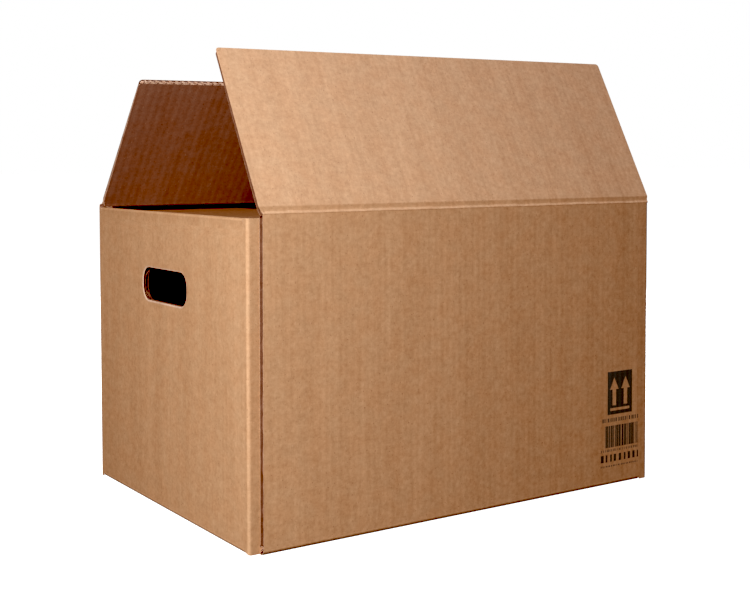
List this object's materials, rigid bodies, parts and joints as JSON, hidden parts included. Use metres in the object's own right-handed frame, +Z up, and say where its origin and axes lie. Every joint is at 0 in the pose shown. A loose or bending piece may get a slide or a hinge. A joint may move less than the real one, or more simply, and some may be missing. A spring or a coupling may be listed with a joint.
{
  "type": "slotted shipping box",
  "caption": "Open-topped slotted shipping box of double wall corrugated board, with a handhole in each end, end flaps folded in and both long top flaps raised.",
  "frame": {"origin": "centre of the underside, on the surface the box stands on", "axes": "+X along the long walls, away from the end that the picture shows; +Y from the front long wall to the back one; +Z up"},
  "size_m": [0.427, 0.312, 0.3995],
  "materials": {
    "board": "matte brown kraft liner, plain"
  },
  "bodies": {
    "box": {"box_body": "board"},
    "front": {"front_flap": "board"},
    "back": {"back_flap": "board"}
  },
  "joints": [
    {"name": "front_fold", "type": "hinge", "parent": "box", "child": "front", "pos_m": [0, -0.15615, 0.268], "axis": [1, 0, 0], "range_deg": [-62, 203]},
    {"name": "back_fold", "type": "hinge", "parent": "box", "child": "back", "pos_m": [0, 0.15615, 0.268], "axis": [-1, 0, 0], "range_deg": [-50, 215]}
  ]
}
